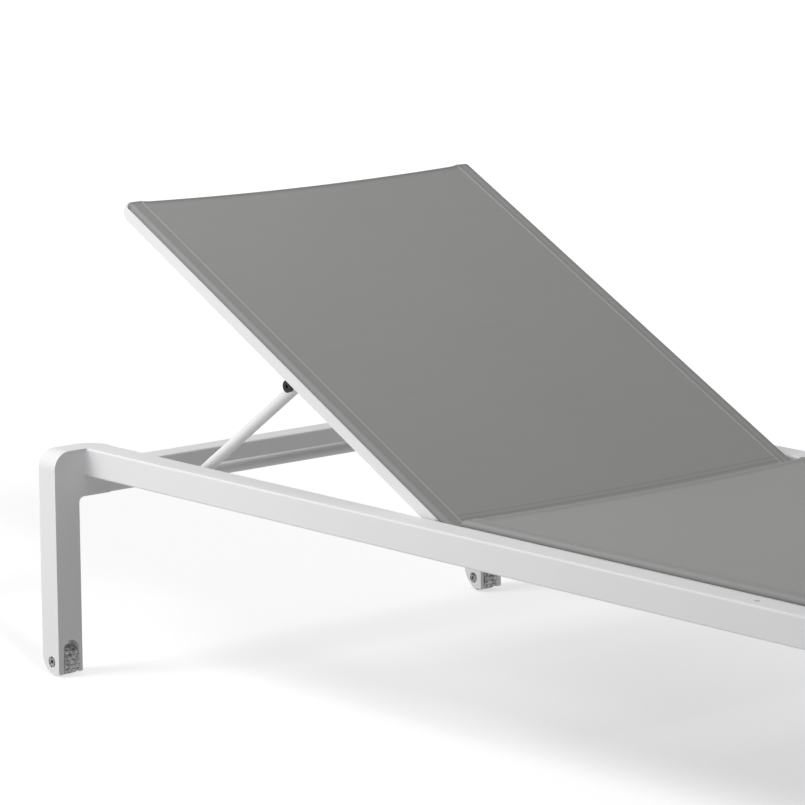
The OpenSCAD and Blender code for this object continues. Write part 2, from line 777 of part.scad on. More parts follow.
// Lug under a backrest bar that carries the stay's pivot bolt.
module lug() {
  drop = hinge_drop - pivot_drop;
  under = hinge_drop - bar_depth;
  difference() {
    union() {
      translate([-pivot_reach - lug_length / 2, lug_outer - half_width, under - lug_base])
        cube([lug_length, lug_thickness + pivot_spacer, lug_base]);
      translate([-pivot_reach, lug_outer - half_width, drop]) pin(2 * lug_radius, lug_thickness);
      translate([-pivot_reach - lug_radius, lug_outer - half_width, drop])
        cube([2 * lug_radius, lug_thickness, under - drop]);
    }
    translate([-pivot_reach, lug_outer - over - half_width, drop])
      pin(pivot_bolt_diameter, lug_thickness + 2 * over);
  }
}

module lug_right() { color(coat) tilted() lug(); }
module lug_left() { color(coat) tilted() mirror([0, 1, 0]) lug(); }

// Pivot bolts with round heads outside and nuts inside the stay's arms.
module pivot_bolts() {
  arm_inner = stay_arm_inset + stay_diameter / 2 + side_clearance;
  color(dark) tilted() both_sides()
    translate([-pivot_reach, -half_width, hinge_drop - pivot_drop]) {
      translate([0, lug_outer - pivot_head_thickness, 0]) difference() {
        pin(pivot_head_diameter, pivot_head_thickness);
        translate([0, -over, 0]) pin(pivot_bolt_diameter * 0.7, pivot_head_thickness / 2 + over);
      }
      translate([0, lug_outer - over, 0]) pin(pivot_bolt_diameter, arm_inner - lug_outer + 2 * over);
      translate([0, arm_inner, 0]) pin(pivot_bolt_diameter * 2, pivot_head_thickness);
    }
}

// Spacers between the lugs and the stay's arms.
module pivot_spacers() {
  color(nylon) tilted() both_sides()
    translate([-pivot_reach, lug_inner - half_width, hinge_drop - pivot_drop]) difference() {
      pin(pivot_spacer_diameter, pivot_spacer);
      translate([0, -over, 0]) pin(pivot_bolt_diameter, pivot_spacer + 2 * over);
    }
}

// Bolts of the backrest's hinges, headed inside the bars, with nuts in the rails.
module hinge_bolts() {
  bar_inner = back_bar_inset + bar_width + side_clearance;
  color(steel) both_sides() translate([hinge_x, -half_width, hinge_z]) {
    translate([0, rail_inner - tube_wall - over, 0])
      pin(hinge_bolt_diameter, bar_inner - rail_inner + tube_wall + 2 * over);
    translate([0, rail_inner - 2 * tube_wall - screw_head_height, 0])
      pin(hinge_nut_diameter, tube_wall + screw_head_height);
    translate([0, bar_inner, 0]) pin(hinge_bush_diameter, screw_head_height);
  }
}

// Bushes between the rails and the backrest bars.
module hinge_bushes() {
  color(nylon) both_sides() translate([hinge_x, rail_inner - half_width, hinge_z]) difference() {
    pin(hinge_bush_diameter, back_bar_inset - rail_inner - side_clearance);
    translate([0, -over, 0]) pin(hinge_bolt_diameter, back_bar_inset - rail_inner + over);
  }
}

// Arm of the stay from its pivot down to the foot tube, cut to sit on that tube.
module stay_arm() {
  translate([pivot_x, stay_arm_y, pivot_z]) rotate([0, -90 - stay_fall, 0]) difference() {
    union() {
      sphere(d = stay_diameter);
      cylinder(d = stay_diameter, h = stay_length);
    }
    translate([0, 0, stay_length]) translate([0, -stay_diameter, 0])
      pin(foot_tube_diameter, 2 * stay_diameter);
    translate([0, -stay_diameter, 0])
      pin(pivot_bolt_diameter + 2 * pivot_clearance, 2 * stay_diameter);
    translate([0, 0, stay_diameter])
      cylinder(d = stay_diameter - 2 * stay_wall, h = stay_length);
  }
}

module stay_arm_right() { color(coat) stay_arm(); }
module stay_arm_left() { color(coat) mirror([0, 1, 0]) stay_arm(); }

// Foot tube of the stay, from one rail's inner face to the other.
module stay_foot_tube() {
  start = rail_inner + side_clearance + end_cap_thickness - half_width;
  color(coat) translate([foot_x, start, stay_foot_height]) difference() {
    pin(foot_tube_diameter, -2 * start);
    translate([0, -over, 0]) pin(foot_tube_diameter - 2 * stay_wall, 2 * over - 2 * start);
  }
}

// Caps in the ends of the foot tube.
module stay_caps() {
  start = rail_inner + side_clearance - half_width;
  color(dark) both_sides() translate([foot_x, start, stay_foot_height]) {
    pin(foot_tube_diameter, end_cap_thickness);
    pin(foot_tube_diameter - 2 * stay_wall, end_cap_thickness + screw_head_height);
  }
}

corner_head_right();
corner_head_left();
corner_foot_right();
corner_foot_left();
rail_right();
rail_left();
crossbar_head();
crossbar_foot();
axle_right();
axle_left();
glide_right();
glide_left();
rack_right();
rack_left();
rack_rivets();
hinge_bolts();
hinge_bushes();
seat_bar_right();
seat_bar_left();
seat_spreader_head();
seat_spreader_middle();
seat_spreader_foot();
seat_end_caps();
seat_keders();
seat_screws();
seat_spacers();
seat_sling();
wheel_hub_right();
wheel_tyre_right();
wheel_hub_left();
wheel_tyre_left();
back_bar_right();
back_bar_left();
back_spreader_top();
back_spreader_middle();
back_spreader_bottom();
back_end_caps();
back_keders();
back_sling();
lug_right();
lug_left();
pivot_bolts();
pivot_spacers();
stay_arm_right();
stay_arm_left();
stay_foot_tube();
stay_caps();
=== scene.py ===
"""Sun lounger: white coated frame, grey mesh slings, small wheels in the head legs."""

import json
import math
from collections import namedtuple

import bpy
import numpy as np
from mathutils import Matrix, Vector

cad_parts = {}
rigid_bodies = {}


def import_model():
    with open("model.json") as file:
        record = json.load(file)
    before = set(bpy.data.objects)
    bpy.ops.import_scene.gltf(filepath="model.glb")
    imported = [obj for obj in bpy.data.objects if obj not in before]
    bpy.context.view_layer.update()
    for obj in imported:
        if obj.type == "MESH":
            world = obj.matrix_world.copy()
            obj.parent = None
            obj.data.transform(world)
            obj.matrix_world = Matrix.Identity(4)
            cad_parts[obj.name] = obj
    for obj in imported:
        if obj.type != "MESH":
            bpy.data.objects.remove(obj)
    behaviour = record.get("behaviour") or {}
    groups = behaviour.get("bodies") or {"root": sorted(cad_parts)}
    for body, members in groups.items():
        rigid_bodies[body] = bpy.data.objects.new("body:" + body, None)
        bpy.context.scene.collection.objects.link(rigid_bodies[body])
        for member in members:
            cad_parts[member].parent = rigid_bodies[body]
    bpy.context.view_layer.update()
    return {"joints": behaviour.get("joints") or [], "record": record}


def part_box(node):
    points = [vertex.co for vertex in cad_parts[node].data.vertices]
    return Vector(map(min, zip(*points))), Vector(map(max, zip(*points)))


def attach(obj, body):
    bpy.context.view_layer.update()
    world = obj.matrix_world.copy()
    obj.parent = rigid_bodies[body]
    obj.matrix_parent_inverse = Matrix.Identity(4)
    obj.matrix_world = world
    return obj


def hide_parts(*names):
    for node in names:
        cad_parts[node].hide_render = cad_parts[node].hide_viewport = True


MM = 0.001

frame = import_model()


def in_mm(metres):
    """A measure of the frame in millimetres, rounded to a thousandth."""
    return round(metres / MM, 3)


# Sizes from the frame, in millimetres

tilt_joint = next(joint for joint in frame["joints"] if joint["name"] == "backrest_tilt")
rail_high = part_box("rail_right")[1]
bar_low, bar_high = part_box("seat_bar_right")
seat_low, seat_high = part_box("seat_sling")

HINGE_X = in_mm(tilt_joint["pos_m"][0])
HINGE_Z = in_mm(tilt_joint["pos_m"][2])
TILT = math.radians(-tilt_joint["range_deg"][0])
RAIL_TOP = in_mm(rail_high[2])
BAR_WIDTH = in_mm(bar_high[1] - bar_low[1])
CROWN_RISE = in_mm(bar_high[2] - rail_high[2])
CLOTH = in_mm(seat_high[2] - bar_high[2])
SEAT_HALF_SPAN = in_mm(-bar_low[1])
SEAT_HEAD = in_mm(seat_low[0])
SEAT_FOOT = in_mm(seat_high[0])
BACK_HALF_SPAN = in_mm(-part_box("back_bar_right")[0][1])

# Sizes of the bars' section and the backrest's cloth that no box gives, in millimetres

CROWN_RADIUS = 4.0
SLOT_RISE = 2.0
SAG = 4.0
BACK_REACH = 648.0
BACK_TAIL = 30.5


# Camera: angles in radians, its place and reach in metres, its sensor in millimetres

CAMERA_AZIMUTH = 0.860003
CAMERA_ELEVATION = 0.180930
CAMERA_ROLL = -0.006707
CAMERA_PLACE = (3.12152, -3.30348, 1.25693)
FOCAL_PIXELS = 4162.677
PICTURE_PIXELS = 805.0
SENSOR_WIDTH = 36.0
NEAR_CLIP = 0.05
FAR_CLIP = 200.0


def make_camera():
    """Long lens at the photograph's angle, low over the foot end's right side."""
    back = Vector((
        math.sin(CAMERA_AZIMUTH) * math.cos(CAMERA_ELEVATION),
        -math.cos(CAMERA_AZIMUTH) * math.cos(CAMERA_ELEVATION),
        math.sin(CAMERA_ELEVATION),
    ))
    right = Vector((math.cos(CAMERA_AZIMUTH), math.sin(CAMERA_AZIMUTH), 0.0))
    up = back.cross(right)
    right_rolled = right * math.cos(CAMERA_ROLL) + up * math.sin(CAMERA_ROLL)
    up_rolled = up * math.cos(CAMERA_ROLL) - right * math.sin(CAMERA_ROLL)
    turn = Matrix((right_rolled, up_rolled, back)).transposed()
    data = bpy.data.cameras.new("photo_camera")
    data.sensor_width = SENSOR_WIDTH
    data.lens = FOCAL_PIXELS * SENSOR_WIDTH / PICTURE_PIXELS
    data.clip_start = NEAR_CLIP
    data.clip_end = FAR_CLIP
    camera = bpy.data.objects.new("photo_camera", data)
    camera.matrix_world = Matrix.Translation(CAMERA_PLACE) @ turn.to_4x4()
    bpy.context.scene.collection.objects.link(camera)
    bpy.context.scene.camera = camera


# Shader maths


class Shader:
    """A node tree, cleared, that any node is added to by one method."""

    def __init__(self, tree):
        tree.nodes.clear()
        self.tree = tree

    def add(self, kind, settings, values, output=0):
        """Adds a node: its settings first, then its sockets' values or links; gives one output."""
        node = self.tree.nodes.new(kind)
        for name, value in settings.items():
            setattr(node, name, value)
        for name, value in values.items():
            if isinstance(value, Socket):
                self.tree.links.new(value.link, node.inputs[name])
            else:
                node.inputs[name].default_value = value
        return Socket(self, node.outputs[output]) if node.outputs else None


class Socket:
    """A node's output that can be written in sums, so shader maths reads as maths."""

    def __init__(self, shader, link):
        self.shader = shader
        self.link = link

    def _math(self, operation, first, second=0.0):
        """Adds one Math node of two values and gives its output."""
        return self.shader.add("ShaderNodeMath", {"operation": operation}, {0: first, 1: second})

    def __add__(self, other):
        return self._math("ADD", self, other)

    __radd__ = __add__

    def __sub__(self, other):
        return self._math("SUBTRACT", self, other)

    def __rsub__(self, other):
        return self._math("SUBTRACT", other, self)

    def __mul__(self, other):
        return self._math("MULTIPLY", self, other)

    __rmul__ = __mul__

    def sine(self):
        """The sine of the value in radians."""
        return self._math("SINE", self)

    def size(self):
        """The value without its sign."""
        return self._math("ABSOLUTE", self)


def mix_colours(shader, amount, first, second):
    """Colour between two colours, by an amount from 0 to 1."""
    values = {0: amount, 6: (*first, 1.0), 7: (*second, 1.0)}
    return shader.add("ShaderNodeMix", {"data_type": "RGBA"}, values, output=2)


def cloud(shader, point, scale, detail=2.0):
    """Soft noise from 0 to 1 at so many features a metre."""
    values = {"Vector": point, "Scale": scale, "Detail": detail}
    return shader.add("ShaderNodeTexNoise", {}, values)


def own_cloud(shader, scale, detail=2.0):
    """Soft noise on the piece's own coordinates."""
    point = shader.add("ShaderNodeTexCoord", {}, {}, output=3)
    return cloud(shader, point, scale, detail)


# Finishes: scales in features a metre, a bump's distance in millimetres

WHITE = (1.0, 1.0, 1.0, 1.0)
COAT_DRIFT_SCALE = 9.0
COAT_GLOSS_SCALE = 30.0
COAT_PEEL_SCALE = 850.0
COAT_PEEL_DEPTH = 0.6
COAT_SHINE = 0.45
YARN_SPECKLE_SCALE = 600.0
YARN_ROUGHNESS = 0.6
YARN_GRAIN_SCALE = 2500.0

Bump = namedtuple("Bump", "strength distance height")


def value_or_nodes(value, shader):
    """A plain value as it is, or the output of the nodes that a function adds."""
    return value(shader) if callable(value) else value


def finish(name, colour, roughness, bump=None, **values):
    """Principled material; colour and roughness are values, or functions that add nodes.

    The bump's distance is in millimetres, and its height is a function that adds nodes.
    """
    material = bpy.data.materials.new(name)
    material.use_nodes = True
    shader = Shader(material.node_tree)
    values["Base Color"] = value_or_nodes(colour, shader)
    values["Roughness"] = value_or_nodes(roughness, shader)
    if bump is not None:
        relief = {"Distance": bump.distance * MM, "Height": bump.height(shader)}
        values["Normal"] = shader.add("ShaderNodeBump", {}, {"Strength": bump.strength, **relief})
    surface = shader.add("ShaderNodeBsdfPrincipled", {}, values)
    shader.add("ShaderNodeOutputMaterial", {}, {"Surface": surface})
    return material


def speckled(first, second, scale):
    """Colour that drifts between two near shades at a given scale."""

    def colour(shader):
        return mix_colours(shader, own_cloud(shader, scale), first, second)

    return colour


def mottled(first, second, scale, contrast):
    """Colour in clear patches of two shades at a given scale."""

    def colour(shader):
        amount = (own_cloud(shader, scale) - 0.5) * contrast + 0.5
        return mix_colours(shader, amount, first, second)

    return colour


def between(low, high, scale):
    """Roughness that drifts between two values at a given scale."""

    def roughness(shader):
        return own_cloud(shader, scale) * (high - low) + low

    return roughness


def grain(scale, detail=2.0):
    """Bump height from fine noise."""

    def height(shader):
        return own_cloud(shader, scale, detail)

    return height


def powder_coat(name, peel, dark, pale, gloss):
    """White powder coat: a very fine orange peel and a slightly uneven gloss."""
    return finish(
        name,
        speckled(dark, pale, COAT_DRIFT_SCALE),
        between(*gloss, COAT_GLOSS_SCALE),
        Bump(peel, COAT_PEEL_DEPTH, grain(COAT_PEEL_SCALE, detail=3.0)),
        **{"Specular IOR Level": COAT_SHINE},
    )


def sewn_thread(name, dark, pale):
    """Twisted yarn: a fine speckle and a fine grain."""
    speckle = speckled(dark, pale, YARN_SPECKLE_SCALE)
    return finish(name, speckle, YARN_ROUGHNESS, Bump(0.4, 0.2, grain(YARN_GRAIN_SCALE)))


# Mesh cloth: the weave's repeat in millimetres, tones as shares of the cloth's grey

WEAVE_REPEAT = 2.2
SLING_GREY = (0.319, 0.319, 0.314)
PLAIN_TONE = 0.915
GAP_TONE = 0.05
DRIFT_TONE = 0.05
STREAK_TONE = 0.07
DRIFT_SCALE = 7.0
STREAK_SCALE = 4.0
STREAK_STRETCH = (1.2, 60.0, 1.0)


def cut_point(shader):
    """The cloth's flat coordinates, across and along its cut, in metres."""
    return shader.add("ShaderNodeUVMap", {"uv_map": "cut"}, {})


def weave_height(shader, point):
    """Plain weave: two sets of rounded yarns that pass over each other in turn.

    The product of a sine each way says which set lies on top, and the size of a sine of
    twice the rate rounds each set's own yarns.
    """
    across, along = (shader.add("ShaderNodeSeparateXYZ", {}, {0: point}, axis) for axis in (0, 1))
    turn = 2.0 * math.pi / (WEAVE_REPEAT * MM)
    over = (across * turn).sine() * (along * turn).sine()
    warp = (across * (2.0 * turn)).sine().size()
    weft = (along * (2.0 * turn)).sine().size()
    return (over * 0.5 + 0.5) * 0.5 + (warp + weft) * 0.25


def sling_relief(shader):
    """Bump height of the weave."""
    return weave_height(shader, cut_point(shader))


def sling_colour(shader):
    """Grey yarns with dark gaps, paler or darker by the tone kept on the cloth, which holds
    painted highlights and painted shade.
    """
    point = cut_point(shader)
    stretched = shader.add("ShaderNodeMapping", {}, {"Vector": point, "Scale": STREAK_STRETCH})
    gap = weave_height(shader, point)
    drift = cloud(shader, point, DRIFT_SCALE)
    streak = cloud(shader, stretched, STREAK_SCALE, detail=3.0)
    tone = shader.add("ShaderNodeAttribute", {"attribute_name": "tone"}, {}, output=2)
    shade = PLAIN_TONE + gap * GAP_TONE + drift * DRIFT_TONE + streak * STREAK_TONE + tone
    values = {0: SLING_GREY, "Scale": shade}
    return shader.add("ShaderNodeVectorMath", {"operation": "SCALE"}, values)


# The same white coat as the tubes, made a little darker for the castings: painted shade.
COAT_CAST_SHADED = powder_coat(
    "white_coat_on_casting_painted_shade", 0.10, (0.77, 0.762, 0.774), (0.81, 0.802, 0.814), (0.50, 0.60)
)
COAT_TUBE = powder_coat(
    "white_coat_on_tube", 0.06, (0.79, 0.782, 0.793), (0.83, 0.822, 0.833), (0.46, 0.56)
)
SLING = finish("grey_mesh_cloth", sling_colour, 0.62, Bump(0.25, 0.3, sling_relief))
THREAD = sewn_thread("seam_thread", (0.42, 0.42, 0.41), (0.50, 0.50, 0.49))
HEM_THREAD = sewn_thread("hem_thread", (0.20, 0.20, 0.196), (0.26, 0.26, 0.255))
WHITE_PLASTIC = finish(
    "white_plastic",
    speckled((0.78, 0.78, 0.79), (0.82, 0.82, 0.825), 25.0),
    between(0.40, 0.50, 60.0),
    Bump(0.08, 0.4, grain(1600.0)),
)
STEEL = finish(
    "plain_steel",
    speckled((0.56, 0.57, 0.58), (0.66, 0.67, 0.68), 400.0),
    between(0.25, 0.42, 300.0),
    Bump(0.1, 0.2, grain(1500.0)),
    Metallic=1.0,
)
# Axle heads: steel mottled from near black to grey, painted shade of the recess they sit in.
AXLE_STEEL_PAINTED_SHADE = finish(
    "axle_steel_painted_shade",
    mottled((0.04, 0.04, 0.045), (0.46, 0.46, 0.47), 380.0, contrast=4.0),
    between(0.35, 0.55, 300.0),
    Bump(0.3, 0.3, grain(900.0)),
    Metallic=1.0,
)
BLACK_BOLT = finish(
    "black_bolt",
    speckled((0.003, 0.003, 0.003), (0.010, 0.010, 0.011), 500.0),
    between(0.22, 0.34, 200.0),
    Bump(0.1, 0.2, grain(1200.0)),
    **{"Specular IOR Level": 0.3},
)
DARK_PLASTIC = finish(
    "dark_plastic",
    speckled((0.045, 0.045, 0.05), (0.06, 0.06, 0.065), 60.0),
    between(0.45, 0.60, 90.0),
    Bump(0.1, 0.3, grain(1400.0)),
)
# Pale grey tread in patches: its own grey, with dark patches that are partly painted shade of its
# shadowed gaps.
TYRE_WITH_PAINTED_SHADE = finish(
    "grey_tread_with_painted_shade",
    mottled((0.24, 0.24, 0.243), (0.80, 0.80, 0.80), 210.0, contrast=3.0),
    between(0.55, 0.80, 120.0),
    Bump(0.4, 0.8, grain(700.0, detail=4.0)),
)
NYLON = finish(
    "grey_nylon",
    speckled((0.42, 0.42, 0.43), (0.48, 0.48, 0.49), 90.0),
    between(0.42, 0.55, 90.0),
    Bump(0.1, 0.3, grain(1300.0)),
)
FINISHES = {
    "coat_cast": COAT_CAST_SHADED,
    "coat_aluminium": COAT_TUBE,
    "sling_cloth": SLING,
    "white_plastic": WHITE_PLASTIC,
    "steel": STEEL,
    "black_bolt": BLACK_BOLT,
    "dark_plastic": DARK_PLASTIC,
    "tyre_rubber": TYRE_WITH_PAINTED_SHADE,
    "grey_nylon": NYLON,
}
OWN_FINISHES = {"axle_right": AXLE_STEEL_PAINTED_SHADE, "axle_left": AXLE_STEEL_PAINTED_SHADE}


def paint_frame():
    """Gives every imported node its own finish, or that of its slot in the record."""
    for part in frame["record"]["subparts"]:
        node = bpy.data.objects[part["node"]]
        chosen = OWN_FINISHES.get(part["node"], FINISHES[part["material_slot"]])
        if not node.material_slots:
            node.data.materials.append(chosen)
        for place in node.material_slots:
            place.material = chosen


# Meshes


def grid_faces(rows, columns):
    """Quads between neighbouring points of a grid of rows and columns."""
    first = np.arange(rows - 1)[:, None] * columns + np.arange(columns - 1)[None, :]
    first = first.ravel()
    return np.stack([first, first + 1, first + columns + 1, first + columns], axis=1)


def make_mesh(name, points, faces, material):
    """Smooth mesh object from arrays of points in millimetres and of faces."""
    mesh = bpy.data.meshes.new(name)
    mesh.from_pydata((points * MM).tolist(), [], faces.tolist())
    mesh.materials.append(material)
    mesh.polygons.foreach_set("use_smooth", np.full(len(mesh.polygons), True))
    mesh.update()
    piece = bpy.data.objects.new(name, mesh)
    bpy.context.scene.collection.objects.link(piece)
    return piece


def set_cut(piece, cut):
    """Stores the cut's own coordinates, in metres, as the piece's UV map."""
    mesh = piece.data
    layer = mesh.uv_layers.new(name="cut")
    corner = np.empty(len(mesh.loops), dtype=np.int64)
    mesh.loops.foreach_get("vertex_index", corner)
    layer.data.foreach_set("uv", (cut[corner] * MM).astype(np.float32).ravel())


def set_tone(piece, tones):
    """Stores the cloth's tone at each point, painted highlights and painted shade among it, for
    its colour.
    """
    attribute = piece.data.attributes.new("tone", "FLOAT", "POINT")
    attribute.data.foreach_set("value", tones.astype(np.float32).ravel())


def thicken(piece, thickness):
    """Gives a sheet its thickness, away from its outer face."""
    solid = piece.modifiers.new("thickness", "SOLIDIFY")
    solid.thickness = thickness * MM
    solid.offset = -1.0
    solid.use_rim = True


def tilt_up(points):
    """Turns points drawn level up about the hinge's axis by the backrest's tilt."""
    along = points[..., 0] - HINGE_X
    rise = points[..., 2] - HINGE_Z
    turned = points.copy()
    turned[..., 0] = HINGE_X + along * math.cos(TILT) + rise * math.sin(TILT)
    turned[..., 2] = HINGE_Z - along * math.sin(TILT) + rise * math.cos(TILT)
    return turned


def smooth_step(low, high, values):
    """Rises from 0 to 1 between two values, level at both ends."""
    share = np.clip((values - low) / (high - low), 0.0, 1.0)
    return share * share * (3.0 - 2.0 * share)


def bell(middle, width, values):
    """Bell curve, 1 at its middle: e to the minus square of the distance over the width."""
    return np.exp(-(((values - middle) / width) ** 2))


# Slings

# A sling is drawn level, from its head end, and the backrest's is then tilted. A hem's
# width and softness are in millimetres, and its tone and the painted shade of its crease multiply
# the tones below.

Hem = namedtuple("Hem", "width tone softness crease")
Stripe = namedtuple("Stripe", "depth width tone")
Sling = namedtuple("Sling", "name half_span first last edge tilted hems seam thread body bars")

# The cloth's section across: lengths in millimetres, and the crown's count of points

SLOT_RUN = (2.2, 1.4, 0.7, 0.25)
SLOT_DIP = (0.0, 0.0, -0.02, -0.06)
CROWN_POINTS = 12
CROWN_STEP = 1.2
SEAM_DEPTH = 20.0
FINE_FIRST = 17.6
FINE_LAST = 24.1
FINE_STEP = 0.4
WIDE_FIRST = 25.0
WIDE_STEP = 6.0
WELT_RISE = 0.55
WELT_WIDTH = 0.9
SINGLE_DROP = 0.5
SINGLE_FIRST = 0.4
SINGLE_LAST = 2.5
THINNER = 0.05

# The cloth's ends: lengths in millimetres, and the rows that curl

CURL_ROWS = 6
CURL_DROP = 1.6
END_ROWS = (0.0, 0.5, 1.0, 1.6, 2.4, 3.4, 5.0)
SEWN_ROWS = (-2.0, -1.2, -0.6, 0.0, 0.6, 1.2, 2.0)
SECOND_SEAM = 7.5
SECOND_ROWS = (-10.5, -9.0, -7.5, -6.0, -4.5, -3.2)
MIDDLE_FIRST = 6.0
MIDDLE_LAST = 5.0
MIDDLE_STEP = 9.0
EDGE_HOLLOW = 3.7
EDGE_STEP = 1.0
EDGE_CORNER = 6.0
ARCH_FIRST = 26.0
SLEEVE_FIRST = 22.0
SLEEVE_LAST = 32.0
EDGE_FADE_POWER = 8

# The cloth's tones, as shares of its grey, at depths from its side in millimetres: a pale sewn
# line, doubled cloth, painted highlights and painted shade

SEAM_STRIPE = Stripe(depth=SEAM_DEPTH, width=0.8, tone=0.40)
# Painted highlight along the near bar's crown, turned into painted shade on the far bar's crown
CROWN_PAINTED_HIGHLIGHT = Stripe(depth=4.2, width=1.3, tone=0.09)
# Painted highlight along the far roll, where it tilts toward the light
FAR_ROLL_PAINTED_HIGHLIGHT = Stripe(depth=11.5, width=2.2, tone=0.18)
FAR_SEAM = 0.6
FAR_CROWN_PAINTED_SHADE = -1.1
# Painted shade down the cloth's side where it turns into the bar's slot
TUCK_SHADE_HEIGHT = 3.8
TUCK_PAINTED_SHADE = 0.32
# Doubled cloth darker at the sides and hems; the backrest's top hem scales this up into painted
# shade
DOUBLED_AND_SHADE_TONE = 0.08
DOUBLED_EDGE = 0.8
DOUBLED_INNER = 1.0
SEAM_CLEAR = 1.0
# Painted shade in the creases along the hems' sewn lines
CREASE_PAINTED_SHADE = 0.14
CREASE_WIDTH = 1.1
SECOND_CREASE_SHADE = 1.3
SECOND_WIDTH = 1.7
# The backrest's top hem: painted shade of its rolled edge, much darker than doubled cloth
BACK_TOP_HEM = Hem(width=9.0, tone=3.4, softness=6.0, crease=0.2)
BACK_TAIL_HEM = Hem(width=26.0, tone=0.0, softness=0.6, crease=1.0)
SEAT_HEM = Hem(width=20.0, tone=0.9, softness=0.6, crease=1.0)

# Stitches: lengths in millimetres, and a ring's place and thickness as shares of the whole

STITCH_LENGTH = 3.1
STITCH_WIDTH = 0.75
STITCH_SPACING = 4.4
STITCH_MARGIN = 3.0
HEM_MARGIN = 2.0
STITCH_SIDES = 6
STITCH_RINGS = np.array([-0.5, -0.3, 0.0, 0.3, 0.5])
STITCH_THICKNESS = np.array([0.25, 0.85, 1.0, 0.85, 0.25])
STITCH_LIFT = np.array([-0.3, 0.1, 0.25, 0.1, -0.3])
ALONG = np.array([1.0, 0.0, 0.0])
ACROSS = np.array([0.0, 1.0, 0.0])
UPRIGHT = np.array([0.0, 0.0, 1.0])


def half_section(half_span):
    """Outer face of the cloth from its slot to the middle, as (across, rise) points.

    Out of the slot, an arc over the crown from the slot's height to the top, level
    over the bar, then a shallow sag that grows to the middle as 1 minus the square of
    the way left to it.
    """
    radius = CROWN_RADIUS + CLOTH
    slot_z = SLOT_RISE - CLOTH
    start = math.pi - math.asin((slot_z - CROWN_RISE + CROWN_RADIUS) / radius)
    turn = np.linspace(start, math.pi / 2.0, CROWN_POINTS)
    crown_y = radius + radius * np.cos(turn)
    crown_z = CROWN_RISE - CROWN_RADIUS + radius * np.sin(turn)
    side_y = crown_y[0] + np.array(SLOT_RUN)
    side_z = slot_z + np.array(SLOT_DIP)
    top_y = np.concatenate([
        np.arange(radius + CROWN_STEP, FINE_FIRST - FINE_STEP / 2.0, CROWN_STEP),
        np.arange(FINE_FIRST, FINE_LAST, FINE_STEP),
        np.arange(WIDE_FIRST, half_span, WIDE_STEP)[:-1],
        [half_span],
    ])
    top_z = np.full_like(top_y, CROWN_RISE + CLOTH)
    share = np.clip((half_span - top_y) / (half_span - BAR_WIDTH), 0.0, 1.0)
    top_z -= np.where(top_y > BAR_WIDTH, SAG * (1.0 - share * share), 0.0)
    across = np.concatenate([side_y, crown_y, top_y])
    rise = np.concatenate([side_z, crown_z, top_z])
    return across, rise


def seam_relief(depth):
    """Rise of the welt over the sewn line, less the drop to the single cloth inside it.

    The welt is a bell curve, and the drop a smooth step.
    """
    inward = depth - SEAM_DEPTH
    welt = WELT_RISE * bell(0.0, WELT_WIDTH, inward)
    return welt - SINGLE_DROP * smooth_step(SINGLE_FIRST, SINGLE_LAST, inward)


def sling_grid(sling, places):
    """Grid of a sling: columns across it, rows along it at the given places.

    A row's place is moved along by the sling's edge, a function of the distance to the
    nearer side, that shapes the end at the first row and fades out along the sling by a
    power of the way left. Gives the points, each column's distance to the nearer side,
    and its way across the cut.
    """
    across, rise = half_section(sling.half_span)
    span = 2.0 * sling.half_span
    y = np.concatenate([across, span - across[-2::-1]])
    z = np.concatenate([rise, rise[-2::-1]])
    depth = np.minimum(y, span - y)
    cut = np.concatenate([[0.0], np.cumsum(np.hypot(np.diff(y), np.diff(z)))])
    z = z + seam_relief(depth)
    share = (places[-1] - places) / (places[-1] - places[0])
    x = places[:, None] + sling.edge(depth)[None, :] * (share ** EDGE_FADE_POWER)[:, None]
    grid = np.stack([x, np.broadcast_to(y, x.shape), np.broadcast_to(z, x.shape)], axis=-1)
    return grid, depth, cut


def curl_end(grid):
    """Lowers the first rows by the square of their way out, so the end edge turns under."""
    out = grid.copy()
    share = np.linspace(1.0, 0.0, CURL_ROWS) ** 2
    out[:CURL_ROWS, :, 2] -= CURL_DROP * share[:, None]
    return out


def straight_edge(depth):
    """An end edge straight across the cloth."""
    return np.zeros_like(depth)


def back_edge(depth):
    """How far the backrest's upper edge draws back from the bars' level.

    A small step where the sleeve on the bar ends, a shallow arch to the middle, and a
    quarter circle at the corner.
    """
    step = EDGE_STEP * smooth_step(SLEEVE_FIRST, SLEEVE_LAST, depth)
    inside = np.clip(depth, ARCH_FIRST, BACK_HALF_SPAN)
    share = (BACK_HALF_SPAN - inside) / (BACK_HALF_SPAN - ARCH_FIRST)
    arch = (EDGE_HOLLOW - EDGE_STEP) * (1.0 - share ** 2)
    out = np.clip((EDGE_CORNER - depth) / EDGE_CORNER, 0.0, 1.0)
    return step + arch + EDGE_CORNER * (1.0 - np.sqrt(1.0 - out ** 2))


def side_tones(depth, height, far, seam):
    """Tone across the cloth: sewn line, a painted highlight on the near crown and painted shade on
    the far one, painted shade down the side turned in, and a painted highlight on the far roll.

    Each is a bell curve on its own depth from the cloth's side, or a smooth step down
    the side. seam is how much the sewn line shows, and far says which points lie on the
    left.
    """
    line, crown_painted_light, far_roll_highlight = (
        stripe.tone * bell(stripe.depth, stripe.width, depth)
        for stripe in (SEAM_STRIPE, CROWN_PAINTED_HIGHLIGHT, FAR_ROLL_PAINTED_HIGHLIGHT)
    )
    line = seam * line * np.where(far, FAR_SEAM, 1.0)
    crown_painted_light = crown_painted_light * np.where(far, FAR_CROWN_PAINTED_SHADE, 1.0)
    # Painted shade where the cloth turns into the slot
    tuck_shade = (1.0 - smooth_step(0.0, TUCK_SHADE_HEIGHT, height)) * (depth < CROWN_RADIUS)
    return line + crown_painted_light - TUCK_PAINTED_SHADE * tuck_shade + far_roll_highlight * far


